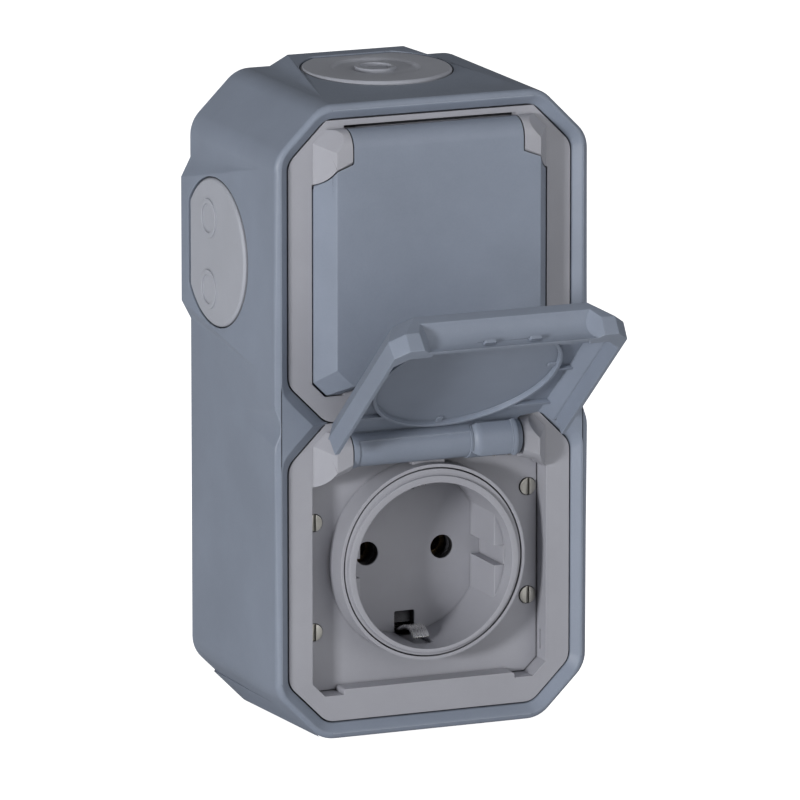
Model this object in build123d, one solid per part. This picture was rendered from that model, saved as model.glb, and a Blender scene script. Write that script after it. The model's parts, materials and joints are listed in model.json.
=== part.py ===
"""Surface-mounted, splash-proof double power socket: two gangs, one above the other, in one moulded housing.
Frame: X to the right seen from the front, Y from the front towards the wall, Z up.
The origin is the middle of the wall face. Every size is in millimetres."""
import math
import os
from build123d import *

# How far a cutting solid runs past the face that it cuts
overrun = 0.5

# Gangs and frames
frame_size = 70.7
frame_gap = 0.3
frame_corner_cut = 9.4
frame_corner_r = 4.5
frame_thickness = 2.4
frame_wall = 1.6
frame_back = 1.6
gang_names = {"upper": 1, "lower": -1}

# Housing
housing_depth = 50.0
housing_wall = 2.7
housing_back = 2.5
side_land = 3.65
corner_land = 11.75
outer_corner_r = 7.5
lip_ridge_rise = 1.9
lip_edge_rise = 1.3
ridge_land = 2.0
ridge_flat = 0.15
ridge_corner_cut = 9.9
ledge_width = 2.4
ledge_thickness = 4.2
gasket_thickness = 1.0
waist_notch_half_height = 4.3
waist_notch_floor_half = 1.1
waist_notch_depth = 1.2
waist_notch_length = 20.0
wall_hole_r = 2.4
wall_hole_spacing_x = 44.0
wall_hole_spacing_z = 96.0
wall_boss_r = 5.5
wall_boss_height = 3.0

# Pads round the cable entries, and their membranes
pad_rise = 2.35
pad_top_half = 14.7
pad_foot_half = 19.2
pad_front_half = 26.0
pad_front_inset = 6.0
bottom_pad_rise = 1.95
bottom_pad_corner_rise = 0.45
membrane_r = 17.7
membrane_from_front = 31.6
membrane_flat = 14.6
membrane_proud = 1.6
membrane_tilt = 1.15
membrane_thickness = 2.2
membrane_groove = 0.9
membrane_gap = 0.25
entry_hole_r = 12.5
side_ring_r = 4.6
side_ring_width = 1.2
side_ring_spacing = 16.8
side_ring_drop = 0.8
side_ring_from_front = 34.6
side_ring_height = 0.45
side_membrane_shrink = 0.3
top_ring_from_front = 32.2
top_dish_r = 11.2
top_dish_floor_r = 9.2
top_dish_depth = 0.8
top_small_ring_r = 4.9
top_small_ring_height = 0.9

# Lids
lid_half_width = 29.2
lid_bottom = 29.0
lid_bevel = 3.67
lid_bottom_cut = 3.3
lid_face_bottom = 26.2
lid_face_corner = 4.1
lid_top_cut = 3.15
lid_plate = 2.0
lid_skirt = 1.3
lid_skirt_depth = 4.5
lid_skirt_draft = 0.3
lid_open_angle = 130.0
lid_clearance = 0.3
hinge_from_front = -1.2
hinge_height = 29.0
barrel_r = 4.35
barrel_half = 21.2
skirt_end_height = 19.6
seal_rib_outer_r = 22.55
seal_rib_width = 0.85
seal_nib_width = 1.4
seal_nib_reach = 1.9
seal_nib_angles = (-90.0, 4.8)
recess_half_width = 19.5
recess_slope = 3.6
recess_cove_r = 5.5
recess_cove_depth = 0.73
recess_depth = 3.0
end_wall = 1.0
gusset_thickness = 1.0
gusset_drop = 0.2
gusset_heights = (-12.5, 0.5, 17.0)
hook_width = 2.8
hook_reach = 1.6
hook_root = 0.3
hook_depths = (2.5, 3.3)
hook_positions = (-5.3, 6.0)
barrel_relief = 0.3
barrel_relief_start = 0.3
barrel_end_width = 1.5

# Hinge blocks, pins and springs
block_inner = 21.5
block_profile = ((21.5, 5.03), (25.6, 6.15), (29.6, 8.7))
block_foot = ((21.5, 26.5), (23.7, 25.4), (25.6, 24.6), (26.95, 22.4), (28.3, 20.95), (29.3, 20.6))
pin_r = 1.1
pin_clearance = 0.05
pin_half_length = 27.5
spring_start = 9.8
spring_end = 18.4
spring_wire_r = 0.4
spring_coil_r = 2.3
spring_turns = 5
spring_leg_reach = 5.2
spring_leg_drop = 0.6
spring_leg_clearance = 0.15
spring_bore_r = 3.1
spring_cover_start = 8.5
spring_cover_end = 19.5
spring_cover_r = 5.6
spring_cover_edge = -1.15
spring_cover_overlap = 0.2
spring_cover_round = 2.3
spring_cover_rim = 1.3
spring_cover_rim_rise = 0.35

# Cover plates
opening_half = 29.5
opening_top = 33.95
opening_bottom = 29.3
well_top = 31.9
well_top_cut = 6.0
opening_corner = 3.2
ledge_half_width = 21.6
ledge_height = 1.3
plate_depth = 5.15
plate_thickness = 2.0
plate_clearance = 0.2
collar_r = 23.25
collar_bore_r = 22.45
collar_rise = 2.0
collar_lift = 0.75
collar_tab_width = 8.0
collar_tab_height = 0.4
back_hole_r = 24.4
wall_slot_depths = (3.05, 3.65)
wall_slot_reach = 0.8
wall_slot_heights = (-23.9, -19.1)

# Socket inserts
insert_clearance = 0.3
insert_lip_r = 21.35
insert_lip_rise = 2.8
well_r = 19.7
well_depth = 15.0
well_floor = 2.5
flat_half = 16.9
flat_half_height = 10.2
flat_start = 1.4
channel_half = 19.2
channel_height = 4.6
pin_hole_r = 2.8
pin_hole_spacing = 19.0
earth_width = 4.2
earth_slot_clearance = 0.4
earth_slot_start = 3.0
earth_slot_reach = 20.5
insert_flange_r = 23.8
insert_flange = 1.5

# Contacts
earth_thickness = 0.8
earth_tip_depth = 5.0
earth_bulge_r = 16.9
earth_strip_r = 18.7
base_half_width = 19.5
base_half_height = 17.8
base_length = 17.0
fixed_gap = 0.1
contact_r = 3.5
contact_bore_r = 2.3
contact_length = 12.0
contact_slit = 0.6
contact_recess = 4.0
clamp_size = 7.0
clamp_height = 8.0
clamp_screw_r = 1.6
clamp_screw_head_r = 2.7
clamp_screw_head = 1.8
back_cover = 1.6

# Screws that hold each gang
fixing_x = 27.0
fixing_heights = {"right": (14.95, -11.0), "left": (10.9, -15.1)}
fixing_head_r = 2.0
fixing_head = 1.2
fixing_shank_r = 1.2
fixing_grip = 9.0
fixing_slot_width = 0.7
fixing_slot_depth = 0.6
post_r = 2.9
screw_clearance = 0.15

gang_pitch = frame_size + frame_gap
gang_offset = gang_pitch / 2
frame_half = frame_size / 2
pocket_half = frame_half + frame_gap
body_half_width = pocket_half + side_land
body_half_height = gang_offset + body_half_width
front = -housing_depth
hinge_y = front + hinge_from_front
lid_face_rise = barrel_r - hinge_from_front
seal_rib_end = -collar_rise - lid_clearance
seal_rib_inner_r = seal_rib_outer_r - seal_rib_width


def octagon(half_width, half_height, cut, radius=0.0):
    """Rectangle with its four corners cut at 45 degrees, in the XZ plane, drawn counter-clockwise."""
    x, z = half_width, half_height
    points = [(x, -z + cut), (x, z - cut), (x - cut, z), (-x + cut, z),
              (-x, z - cut), (-x, -z + cut), (-x + cut, -z), (x - cut, -z)]
    return rounded(points, radius)


def rounded(points, radius=0.0):
    face = make_face(Polyline(*points, close=True))
    if radius > 0:
        face = fillet(face.vertices(), radius)
    return face


def facing(depth, centre_z=0.0):
    """Plane parallel to the wall at a depth behind the frames' front, with X right and Z up."""
    return Plane(origin=(0, front + depth, centre_z), x_dir=(1, 0, 0), z_dir=(0, -1, 0))


def slab(sketch, start, end, centre_z=0.0):
    """Solid of a flat outline between two depths behind the frames' front."""
    return extrude(facing(end, centre_z) * sketch, amount=end - start)


def between(near_sketch, near, far_sketch, far, centre_z=0.0):
    """Solid that changes straight from one outline to another over its depth."""
    return loft([(facing(near, centre_z) * near_sketch).face(), (facing(far, centre_z) * far_sketch).face()],
                ruled=True)


def disc(radius, start, end, x=0.0, z=0.0):
    return slab(Pos(x, z) * Circle(radius), start, end)


def tube(outer, inner, start, end, x=0.0, z=0.0):
    return slab(Pos(x, z) * (Circle(outer) - Circle(inner)), start, end)


def block(x_range, depth_range, z_range):
    size = [high - low for low, high in (x_range, depth_range, z_range)]
    middle = [(high + low) / 2 for low, high in (x_range, depth_range, z_range)]
    return Pos(middle[0], front + middle[1], middle[2]) * Box(*size)


def rod(radius, x_start, x_end, depth, z):
    """Round bar that runs across the object, parallel to X."""
    return Pos((x_start + x_end) / 2, front + depth, z) * Rot(0, 90, 0) * Cylinder(radius, abs(x_end - x_start))


def turned_about_hinge(profile):
    """Solid of revolution about the hinge axis; the profile is a list of (x, radius) points on the right side."""
    plane = Plane(origin=(0, hinge_y, hinge_height), x_dir=(1, 0, 0), z_dir=(0, -1, 0))
    points = [(profile[0][0], 0)] + list(profile) + [(profile[-1][0], 0)]
    face = plane * make_face(Polyline(*points, close=True))
    return revolve(face, Axis((0, hinge_y, hinge_height), (1, 0, 0)), 360)


def both_sides(shape):
    return shape + mirror(shape, Plane.YZ)


def write(shape, name):
    solids = shape.solids()
    export_step(solids[0] if len(solids) == 1 else Compound(children=list(solids)), f"parts/{name}.step")


def at_gang(shape, side):
    return Pos(0, 0, side * gang_offset) * shape


# Housing: a straight octagonal box with a raised lip, two frame pockets and a pad round each cable entry

def housing_body():
    edge = octagon(body_half_width, body_half_height, corner_land, outer_corner_r)
    body = slab(edge, -lip_edge_rise, housing_depth)
    ridge_inset = side_land - ridge_land - ridge_flat
    ridge = octagon(body_half_width - ridge_inset, body_half_height - ridge_inset,
                    corner_land - ridge_inset * (2 - math.sqrt(2)), outer_corner_r - ridge_inset / 2)
    body += between(ridge, -lip_ridge_rise, edge, -lip_edge_rise)
    return body


def entry_pad(face_distance, rise):
    """Pad on a wall that faces +Z: high at the wall side, level with the lip at the front."""
    sunk = 2.0
    rear = rounded([(-pad_foot_half, -sunk), (pad_foot_half, -sunk), (pad_foot_half, 0),
                    (pad_top_half, rise), (-pad_top_half, rise), (-pad_foot_half, 0)])
    near_half = pad_front_half
    near = rounded([(-near_half, -sunk), (near_half, -sunk), (near_half, -sunk / 2),
                    (near_half - sunk, 0), (-near_half + sunk, 0), (-near_half, -sunk / 2)])
    return Pos(0, 0, face_distance) * between(near, pad_front_inset, rear, housing_depth)


def bottom_pad():
    reach = body_half_width + body_half_height - corner_land + bottom_pad_corner_rise * math.sqrt(2)
    low = body_half_height + bottom_pad_rise
    high = body_half_height - corner_land / 2
    rear = rounded([(-(reach - high), -high), (-(reach - low), -low), (reach - low, -low), (reach - high, -high)])
    front_low = body_half_height - 0.05
    front_reach = reach - bottom_pad_corner_rise * math.sqrt(2) - 0.2
    near = rounded([(-(front_reach - high), -high), (-(front_reach - front_low), -front_low),
                    (front_reach - front_low, -front_low), (front_reach - high, -high)])
    return between(near, pad_front_inset / 2, rear, housing_depth)


def membrane_outline(grow=0.0):
    """Round disc with one flat side towards the wall; the sketch's Y points away from the wall."""
    radius = membrane_r + grow
    return Circle(radius) - Pos(0, -radius - membrane_flat - grow) * Rectangle(4 * radius, 2 * radius)


def entry_plane(face_distance):
    """Plane of a membrane on a wall that faces +Z, tilted so that it rises towards the wall."""
    return Plane(origin=(0, front + membrane_from_front, face_distance), x_dir=(1, 0, 0),
                 z_dir=(0, -math.sin(math.radians(membrane_tilt)), math.cos(math.radians(membrane_tilt)))) * Rot(0, 0, 180)


def entry_cut(face_distance, shrink=0.0):
    """Seat for a membrane with its clear hole through the wall."""
    plane = entry_plane(face_distance)
    seat_floor = membrane_proud - membrane_thickness - membrane_gap
    seat = plane * Pos(0, 0, seat_floor) * extrude(membrane_outline(membrane_gap - shrink), amount=8.0)
    hole = plane * Pos(0, 0, -housing_wall * 3) * extrude(Circle(entry_hole_r), amount=housing_wall * 6)
    return seat + hole


def membrane(face_distance, rings, dish=None, shrink=0.0):
    """Pierceable membrane: domed edge, ring marks and a collar that clips behind the wall."""
    plane = entry_plane(face_distance)
    disc_shape = extrude(membrane_outline(-shrink), amount=membrane_thickness)
    top_edges = disc_shape.edges().group_by(Axis.Z)[-1]
    disc_shape = chamfer(top_edges, 0.5)
    shape = Pos(0, 0, membrane_proud - membrane_thickness) * disc_shape
    collar_depth = housing_wall * 1.5
    collar = Pos(0, 0, membrane_proud - membrane_thickness - collar_depth) * extrude(
        Circle(entry_hole_r - membrane_gap) - Circle(entry_hole_r - membrane_gap - membrane_groove * 1.5),
        amount=collar_depth)
    shape += collar
    floor = membrane_proud
    if dish is not None:
        floor -= top_dish_depth
        hollow = loft([Pos(*dish, membrane_proud + overrun) * Circle(top_dish_r + overrun),
                       Pos(*dish, floor) * Circle(top_dish_floor_r)], ruled=True)
        shape -= hollow
    for x, y, radius, width, height in rings:
        ring = extrude(Circle(radius) - Circle(radius - width), amount=height)
        shape += Pos(x, y, floor) * ring
    return plane * shape


def wall_positions():
    return [(sx * wall_hole_spacing_x / 2, sz * wall_hole_spacing_z / 2) for sx in (-1, 1) for sz in (-1, 1)]


def fixing_positions():
    return [(sign * fixing_x, z) for sign, name in ((1, "right"), (-1, "left")) for z in fixing_heights[name]]


def on_side(shape):
    """Turns a shape made for the top wall so that it sits on the left wall of the upper gang."""
    return Pos(0, 0, gang_offset) * (Rot(0, -90, 0) * shape)


def housing():
    body = housing_body()
    body += entry_pad(body_half_height, pad_rise)
    body += on_side(entry_pad(body_half_width, pad_rise))
    body += bottom_pad()
    gasket_seat = frame_thickness + gasket_thickness
    ledge_end = gasket_seat + ledge_thickness
    seat = octagon(pocket_half, pocket_half, frame_corner_cut + frame_gap * (2 - math.sqrt(2)),
                   frame_corner_r + frame_gap)
    past = 1.0 + overrun / lip_ridge_rise
    ridge_half = pocket_half + ridge_land * past
    ridge = octagon(ridge_half, ridge_half, ridge_corner_cut, frame_corner_r + ridge_land)
    window_half = pocket_half - ledge_width
    window = octagon(window_half, window_half, frame_corner_cut)
    for side in gang_names.values():
        z = side * gang_offset
        body -= between(ridge, -lip_ridge_rise - overrun, seat, 0, z)
        body -= slab(seat, 0, gasket_seat, z)
        body -= slab(window, gasket_seat - overrun, ledge_end + overrun, z)
    cavity = octagon(body_half_width - housing_wall, body_half_height - housing_wall,
                     corner_land - housing_wall * (2 - math.sqrt(2)), outer_corner_r - housing_wall)
    body -= slab(cavity, ledge_end, housing_depth - housing_back)
    notch_out = body_half_width + 3
    slope = (waist_notch_half_height - waist_notch_floor_half) / waist_notch_depth
    far = waist_notch_half_height + slope * 3
    near_cut = rounded([(body_half_width - waist_notch_depth, -waist_notch_floor_half), (notch_out, -far),
                        (notch_out, far), (body_half_width - waist_notch_depth, waist_notch_floor_half)])
    far_cut = Pos(waist_notch_depth + 0.05, 0) * near_cut
    notch = between(near_cut, -lip_ridge_rise, far_cut, waist_notch_length)
    body -= both_sides(notch)
    body -= entry_cut(body_half_height)
    body -= on_side(entry_cut(body_half_width, side_membrane_shrink))
    for x, z in wall_positions():
        body += disc(wall_boss_r, housing_depth - housing_back - wall_boss_height, housing_depth - housing_back / 2, x, z)
        body -= disc(wall_hole_r, housing_depth - housing_back - wall_boss_height - 1, housing_depth + 1, x, z)
    post_top = plate_depth + plate_thickness + fixed_gap + frame_back + lid_clearance
    for side in gang_names.values():
        for x, z in fixing_positions():
            z += side * gang_offset
            post = disc(post_r, post_top, housing_depth - housing_back / 2, x, z)
            screw_end = plate_depth + fixing_grip + 3
            body += post - disc(fixing_shank_r + screw_clearance, post_top - 1, screw_end, x, z)
    return body


def frame_gasket():
    outer = octagon(frame_half - 0.2, frame_half - 0.2, frame_corner_cut)
    inner_half = pocket_half - ledge_width + 0.2
    inner = octagon(inner_half, inner_half, frame_corner_cut)
    seal_gap = fixed_gap / 2
    return slab(outer - inner, frame_thickness + seal_gap, frame_thickness + gasket_thickness - seal_gap)


# Lid envelope, shared by the lid and by the hinge blocks that stand beside it

def lid_outline():
    x, bottom, top = lid_half_width, -lid_bottom, hinge_height + barrel_r
    cut = lid_bottom_cut
    return [(x, bottom + cut), (x, top - lid_top_cut), (x - lid_top_cut, top), (-x + lid_top_cut, top),
            (-x, top - lid_top_cut), (-x, bottom + cut), (-x + cut, bottom), (x - cut, bottom)]


def face_outline():
    x, bottom, top = lid_half_width - lid_bevel, -lid_face_bottom, hinge_height + barrel_r
    top_cut = lid_top_cut + lid_bevel * (math.sqrt(2) - 1)
    cut = lid_face_corner
    return [(x, bottom + cut), (x, top - top_cut), (x - top_cut, top), (-x + top_cut, top),
            (-x, top - top_cut), (-x, bottom + cut), (-x + cut, bottom), (x - cut, bottom)]


def lid_envelope(full_top):
    hull = between(rounded(face_outline()), -lid_face_rise, rounded(lid_outline()), 0)
    wide = lid_half_width + 1
    low = block((-wide, wide), (-lid_face_rise - 1, 1), (-lid_bottom - 1, hinge_height))
    keep = low + rod(barrel_r, -wide, wide, hinge_from_front, hinge_height)
    if full_top:
        keep += block((-wide, wide), (hinge_from_front, 1), (hinge_height - 1, hinge_height + barrel_r))
    return hull & keep


def hinge_blocks():
    """The two corners of the frame that carry the pin, shaped as the lid's own corners."""
    turned = turned_about_hinge(block_profile)
    crown = lid_envelope(True) & turned
    outline = list(block_foot) + [(opening_half + 0.4, block_foot[-1][1]), (opening_half + 0.4, opening_top - opening_corner),
                                  (opening_half + 0.4 - opening_corner, opening_top + 0.4), (block_inner, opening_top + 0.4)]
    foot = slab(rounded(outline), 0, plate_depth - plate_clearance) & window_limit()
    collar_gap = disc(collar_r + lid_clearance, -lid_face_rise, plate_depth, 0, collar_lift)
    corner = crown + (foot - collar_gap)
    corner -= rod(pin_r + pin_clearance, block_inner - 1, pin_half_length + fixed_gap, hinge_from_front, hinge_height)
    return both_sides(corner)


def lid():
    x, top = lid_half_width, hinge_height + barrel_r
    skirt_far = x - lid_skirt_draft
    cut = lid_bottom_cut
    near = rounded([(x, -lid_bottom + cut), (x, skirt_end_height), (-x, skirt_end_height), (-x, -lid_bottom + cut),
                    (-x + cut, -lid_bottom), (x - cut, -lid_bottom)])
    draft = lid_skirt_draft
    far = rounded([(skirt_far, -lid_bottom + cut), (skirt_far, skirt_end_height), (-skirt_far, skirt_end_height),
                   (-skirt_far, -lid_bottom + cut), (-skirt_far + cut - draft, -lid_bottom + draft),
                   (skirt_far - cut + draft, -lid_bottom + draft)])
    shell = lid_envelope(False) + between(near, 0, far, lid_skirt_depth)
    inner_x = x - lid_skirt
    plate_inner = lid_face_rise - lid_plate
    inner_face_x = inner_x - lid_bevel * plate_inner / lid_face_rise
    inner_bottom = recess_bottom() - end_wall
    hollow_top = top + 2
    inner_cut = lid_bottom_cut
    inner_near = rounded([(inner_face_x, -inner_bottom + inner_cut), (inner_face_x, hollow_top),
                          (-inner_face_x, hollow_top), (-inner_face_x, -inner_bottom + inner_cut),
                          (-inner_face_x + inner_cut, -inner_bottom), (inner_face_x - inner_cut, -inner_bottom)])
    inner_far = rounded([(inner_x, -inner_bottom + inner_cut), (inner_x, hollow_top),
                         (-inner_x, hollow_top), (-inner_x, -inner_bottom + inner_cut),
                         (-inner_x + inner_cut, -inner_bottom), (inner_x - inner_cut, -inner_bottom)])
    shell -= between(inner_near, -plate_inner, inner_far, 0)
    shell -= slab(inner_far, -0.01, lid_skirt_depth + 1)
    shell -= finger_recess()
    shell -= end_wall_relief(inner_bottom)
    shell += seal_rib(plate_inner)
    shell += hooks()
    shell += rod(barrel_r, -barrel_half, barrel_half, hinge_from_front, hinge_height)
    shell -= barrel_waist()
    wide = lid_half_width + 1
    clear = [(barrel_half, block_profile[0][1] + lid_clearance)]
    clear += [(px, radius + lid_clearance) for px, radius in block_profile[1:]]
    clear += [(wide, block_profile[-1][1] + lid_clearance)]
    shell -= both_sides(turned_about_hinge(clear))
    shell -= rod(pin_r + pin_clearance, -barrel_half - 1, barrel_half + 1, hinge_from_front, hinge_height)
    shell -= spring_pocket()
    return shell


def barrel_waist():
    """Thin band taken off the barrel's inner side between its left end ring and the spring."""
    start, end = -barrel_half + barrel_end_width, spring_cover_start - lid_clearance
    reach = barrel_r + 1
    band = rod(reach, start, end, hinge_from_front, hinge_height)
    band -= rod(barrel_r - barrel_relief, start - 1, end + 1, hinge_from_front, hinge_height)
    return band & block((start, end), (hinge_from_front + barrel_relief_start, hinge_from_front + reach),
                        (hinge_height - reach, hinge_height + reach))


def recess_bottom():
    """Height of the end wall's outer side where the finger recess is deepest."""
    return lid_bottom - recess_depth


def finger_recess():
    """Concave grip in the lid's lower edge, with sloped ends."""
    half, slope = recess_half_width, recess_slope
    mouth = rounded([(half + slope, -lid_bottom - 0.6), (half, -lid_bottom + recess_depth + 0.2),
                     (-half, -lid_bottom + recess_depth + 0.2), (-half - slope, -lid_bottom - 0.6)])
    prism = slab(mouth, -lid_face_rise - 1, lid_skirt_depth + 1)
    cove = rod(recess_cove_r, -lid_half_width, lid_half_width, recess_cove_depth, -recess_bottom() - recess_cove_r)
    return prism & cove


def end_wall_relief(inner_bottom):
    """Keeps the end wall behind the finger recess at one thickness out to its rim."""
    half = recess_half_width
    behind = block((-half, half), (recess_cove_depth, lid_skirt_depth + 1), (-lid_bottom, -inner_bottom))
    return behind - rod(recess_cove_r + end_wall, -half - 1, half + 1, recess_cove_depth, -recess_bottom() - recess_cove_r)


def seal_rib(plate_inner):
    """Round rib that closes round the socket's collar, with gussets out to the skirt."""
    outer, inner = seal_rib_outer_r, seal_rib_inner_r
    rib = tube(outer, inner, -plate_inner - 0.2, seal_rib_end, 0, collar_lift)
    for z in gusset_heights:
        start = math.sqrt(outer ** 2 - (z - collar_lift) ** 2) - 0.3
        end = lid_half_width - lid_skirt - 1.2
        rib += both_sides(block((start, end), (-plate_inner - 0.2, seal_rib_end - gusset_drop),
                                (z - gusset_thickness / 2, z + gusset_thickness / 2)))
    nib = block((inner - seal_nib_reach, inner + 0.2), (-plate_inner - 0.2, -insert_lip_rise - lid_clearance),
                (collar_lift - seal_nib_width / 2, collar_lift + seal_nib_width / 2))
    for angle in seal_nib_angles:
        rib += nib.rotate(Axis((0, 0, collar_lift), (0, 1, 0)), angle)
    return rib


def hooks():
    """Two small catches on the finger recess's concave side, near the rim."""
    shapes = None
    for x in hook_positions:
        catch = block((x - hook_width / 2, x + hook_width / 2), hook_depths,
                      (-recess_bottom() - hook_reach, -recess_bottom() - hook_root))
        shapes = catch if shapes is None else shapes + catch
    return shapes


def spring_pocket():
    """Bore for the spring and the opening it is fitted through, under the hood."""
    bore = rod(spring_bore_r, spring_start - 0.5, spring_end + 0.5, hinge_from_front, hinge_height)
    reach = barrel_r + 1
    way_in = block((spring_start - 0.5, spring_end + 0.5), (hinge_from_front, hinge_from_front + reach),
                   (hinge_height - reach, hinge_height + spring_cover_edge - spring_cover_overlap))
    half = spring_wire_r + spring_leg_clearance
    pocket = bore + way_in
    for x in leg_positions():
        pocket += block((x - half, x + half), (hinge_from_front, hinge_from_front + reach),
                        (hinge_height - reach, hinge_height - spring_leg_drop + half))
    return pocket


def leg_positions():
    return (spring_start + spring_end) / 2, spring_end - spring_wire_r


def spring_cover():
    """Hood over the spring: a quarter shell with a rounded end, clipped on the barrel's inner side."""
    inner = barrel_r + fixed_gap
    start, end, radius, curve = spring_cover_start, spring_cover_end, spring_cover_r, spring_cover_round
    rim_start = end - spring_cover_rim
    hood = turned_about_hinge([(start, inner + 0.1), (start + 0.15 * curve, radius - 0.45 * curve),
                               (start + 0.5 * curve, radius - 0.12 * curve), (start + curve, radius),
                               (rim_start, radius), (rim_start, radius + spring_cover_rim_rise),
                               (end, radius + spring_cover_rim_rise)])
    hood -= rod(inner, start - 1, end + 1, hinge_from_front, hinge_height)
    reach = radius + 1
    keep = block((start - 1, end + 1), (hinge_from_front - 1.5, hinge_from_front + reach),
                 (hinge_height - reach, hinge_height + spring_cover_edge))
    return hood & keep


def hinge_spring():
    """Close-wound torsion spring as one turned body, with its two wire ends out over the hood's edge."""
    pitch = (spring_end - spring_start) / spring_turns
    profile = [(spring_start, spring_coil_r)]
    for turn in range(spring_turns):
        middle = spring_start + pitch * (turn + 0.5)
        profile += [(middle, spring_coil_r + spring_wire_r), (middle + pitch / 2, spring_coil_r)]
    coil = turned_about_hinge(profile)
    coil -= rod(spring_coil_r - spring_wire_r, spring_start - 1, spring_end + 1, hinge_from_front, hinge_height)
    for x in leg_positions():
        leg = Plane(origin=(x, hinge_y + spring_coil_r, hinge_height - spring_leg_drop), z_dir=(0, 1, 0))
        coil += extrude(leg * Circle(spring_wire_r), amount=spring_leg_reach - spring_coil_r)
    return coil


def hinge_pin():
    return rod(pin_r, -pin_half_length, pin_half_length, hinge_from_front, hinge_height)


# Frame: flange, walls round the well, hinge blocks and the floor that takes the screws

def opening_outline(grow=0.0, height=opening_top, height_cut=opening_corner):
    x, top, bottom = opening_half + grow, height + grow, -opening_bottom - grow
    spread = grow * (2 - math.sqrt(2))
    cut, top_cut = opening_corner + spread, height_cut + spread
    return [(x, bottom + cut), (x, top - top_cut), (x - top_cut, top), (-x + top_cut, top),
            (-x, top - top_cut), (-x, bottom + cut), (-x + cut, bottom), (x - cut, bottom)]


def frame():
    flange = octagon(frame_half, frame_half, frame_corner_cut, frame_corner_r)
    opening = rounded(opening_outline())
    well = rounded(opening_outline(0.0, well_top, well_top_cut))
    tub = rounded(opening_outline(frame_wall))
    rest = plate_depth + plate_thickness + fixed_gap
    body = slab(flange, 0, frame_thickness)
    limit = window_limit()
    body += slab(tub, 0, rest + frame_back) & limit
    body -= slab(opening, -overrun, frame_thickness)
    body -= slab(well, 0, rest)
    body -= disc(back_hole_r, 0, rest + frame_back + overrun)
    body += hinge_blocks()
    body += bottom_ledge()
    for x, z in fixing_positions():
        body -= disc(fixing_shank_r + screw_clearance, rest - 1, rest + frame_back + 1, x, z)
    body -= block((opening_half - overrun, opening_half + wall_slot_reach), wall_slot_depths, wall_slot_heights)
    return body


def window_limit():
    """Space inside the housing's window that the frame's walls may fill."""
    half = pocket_half - ledge_width - frame_gap
    behind = slab(octagon(half, half, frame_corner_cut), frame_thickness - 0.1, housing_depth)
    return behind + slab(octagon(frame_half, frame_half, frame_corner_cut), 0, frame_thickness)


def bottom_ledge():
    """Low shelf along the bottom of the opening, rounded at its ends, that backs the lid's finger recess."""
    centre = -opening_bottom + ledge_height / 2 - 0.2
    shelf = Pos(0, centre) * Rectangle(2 * ledge_half_width, ledge_height + 0.4)
    shelf = fillet(shelf.vertices().group_by(Axis.Y)[-1], ledge_height / 2)
    return slab(shelf, 0, plate_depth - plate_clearance)


def cover_plate():
    """Flat floor of the well with the round collar that the lid closes over."""
    outline = rounded(opening_outline(-plate_clearance, well_top, well_top_cut))
    plate = slab(outline, plate_depth, plate_depth + plate_thickness)
    plate += disc(collar_r, -collar_rise, plate_depth + 0.1, 0, collar_lift)
    tab_half = collar_tab_width / 2
    tab_top = collar_lift + collar_r + collar_tab_height
    plate += block((-tab_half, tab_half), (0.6, plate_depth + 0.1), (tab_top - 1, tab_top))
    plate -= disc(collar_bore_r, -collar_rise - 1, plate_depth + plate_thickness + 1, 0, collar_lift)
    for x, z in fixing_positions():
        plate -= disc(fixing_shank_r + screw_clearance, plate_depth - 1, plate_depth + plate_thickness + 1, x, z)
        plate -= disc(fixing_head_r + screw_clearance, plate_depth - 1, plate_depth + fixing_head - 0.4, x, z)
    return plate


def fixing_screws():
    shapes = []
    for x, z in fixing_positions():
        head_front = plate_depth - 0.4
        head = disc(fixing_head_r, head_front, head_front + fixing_head - 0.05, x, z)
        head -= block((x - fixing_slot_width / 2, x + fixing_slot_width / 2), (head_front - 1, head_front + fixing_slot_depth),
                      (z - fixing_head_r - 1, z + fixing_head_r + 1))
        shapes.append(head + disc(fixing_shank_r, head_front + fixing_head - 0.1, plate_depth + fixing_grip, x, z))
    return Compound(children=shapes)


# Socket insert and what it holds

def socket_insert():
    rim = collar_bore_r - insert_clearance
    floor_back = well_depth + well_floor
    body = disc(rim, -collar_rise, floor_back, 0, collar_lift)
    lip_limit = disc(seal_rib_inner_r - lid_clearance, -insert_lip_rise - overrun, overrun, 0, collar_lift)
    body += disc(insert_lip_r, -insert_lip_rise, 0) & lip_limit
    flange_start = plate_depth + plate_thickness + fixed_gap
    body += disc(insert_flange_r, flange_start, flange_start + insert_flange)
    well = disc(well_r, -insert_lip_rise - 1, well_depth)
    keys = block((flat_half, well_r + 1), (flat_start, well_depth + 1), (-flat_half_height, flat_half_height))
    channel = block((0, channel_half), (-insert_lip_rise - 1, well_depth), (-channel_height / 2, channel_height / 2))
    well -= both_sides(keys)
    well += both_sides(channel)
    body -= well
    for side in (-1, 1):
        body -= disc(pin_hole_r, well_depth - 1, floor_back + 1, side * pin_hole_spacing / 2)
        half = earth_width / 2 + earth_slot_clearance
        low, high = sorted((side * (earth_bulge_r - earth_thickness - 1.6), side * earth_slot_reach))
        body -= block((-half, half), (earth_slot_start, floor_back + 1), (low, high))
    return body


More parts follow.
